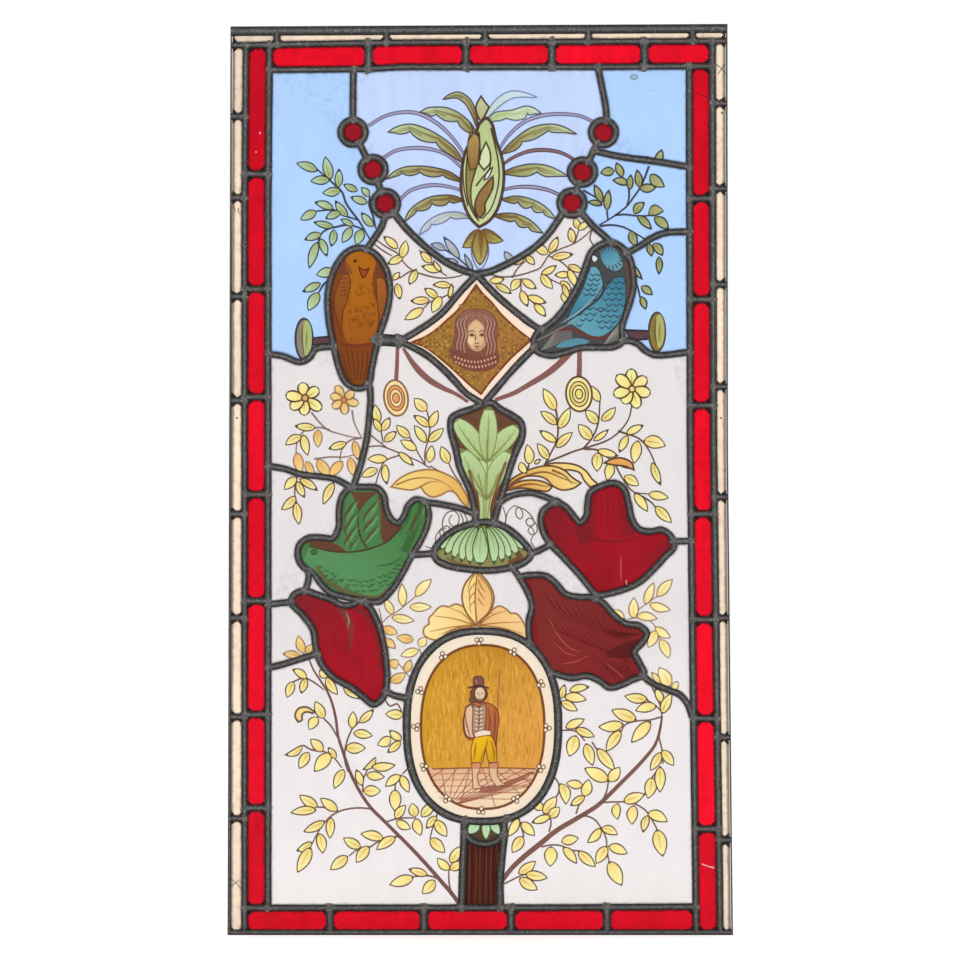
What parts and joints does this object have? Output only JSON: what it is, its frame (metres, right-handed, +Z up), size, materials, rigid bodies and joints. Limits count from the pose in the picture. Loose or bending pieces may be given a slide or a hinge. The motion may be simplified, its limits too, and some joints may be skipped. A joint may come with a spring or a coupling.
{
  "type": "stained glass window",
  "caption": "Tall leaded stained glass panel with painted birds, foliage, a diamond and an oval medallion in a border of glass strips, made to be fixed in a window opening.",
  "frame": {"origin": "middle of the bottom edge of the lead, halfway through its depth", "axes": "+Z up the panel, -Y out of the painted front, +X to the right as seen from the front"},
  "size_m": [0.5055, 0.006, 0.911],
  "materials": {
    "lead": "weathered lead came with grey solder joints",
    "cream": "opal cream glass, smooth",
    "red": "ruby red glass, smooth",
    "deep_red": "deep red glass, smooth",
    "brown_red": "brown-red glass, smooth",
    "sky": "pale blue glass, smooth, painted",
    "clear": "white glass, smooth, painted and silver stained",
    "orange": "amber glass, smooth, painted",
    "blue": "blue glass, smooth, painted",
    "green": "green glass, smooth, painted",
    "leaf": "pale green glass, smooth, painted",
    "amber": "amber stained glass, smooth, painted",
    "bark": "dark brown glass, smooth, painted"
  },
  "bodies": {
    "root": {"lead_net": "lead", "sky_left": "sky", "sky_centre": "sky", "sky_right_top": "sky", "sky_right_middle": "sky", "sky_right_bottom": "sky", "leaf_pane_upper_left": "clear", "leaf_pane_upper_right": "clear", "flower_pane_left": "clear", "spray_pane_left": "clear", "flower_pane_right": "clear", "tendril_pane_left": "clear", "tendril_pane_right": "clear", "sprig_pane_left": "clear", "sliver_pane_left": "clear", "leaf_pane_left_small": "clear", "leaf_pane_lower_left": "clear", "leaf_pane_middle": "clear", "slip_pane_right": "clear", "leaf_pane_right_middle": "clear", "leaf_pane_lower_right": "clear", "diamond_pane": "amber", "oval_medallion": "amber", "orange_bird": "orange", "blue_bird": "blue", "green_bird": "green", "red_bird_left": "deep_red", "red_bird_right": "deep_red", "dark_red_bird": "brown_red", "palm_leaf_pane": "leaf", "petal_pane": "leaf", "collar_pane": "leaf", "trunk_pane": "bark", "roundel_left_1": "deep_red", "roundel_left_2": "deep_red", "roundel_left_3": "deep_red", "red_strip_left_1": "red", "red_strip_left_2": "red", "red_strip_left_3": "red", "red_strip_left_4": "red", "red_strip_left_5": "red", "red_strip_left_6": "red", "red_strip_left_7": "red", "red_strip_left_8": "red", "roundel_right_1": "deep_red", "roundel_right_2": "deep_red", "roundel_right_3": "deep_red", "red_strip_right_1": "red", "red_strip_right_2": "red", "red_strip_right_3": "red", "red_strip_right_4": "red", "red_strip_right_5": "red", "red_strip_right_6": "red", "red_strip_right_7": "red", "red_strip_right_8": "red", "red_strips_top": "red", "red_strips_bottom": "red", "cream_strips_left": "cream", "cream_strips_right": "cream", "cream_strips_top": "cream"}
  },
  "joints": []
}
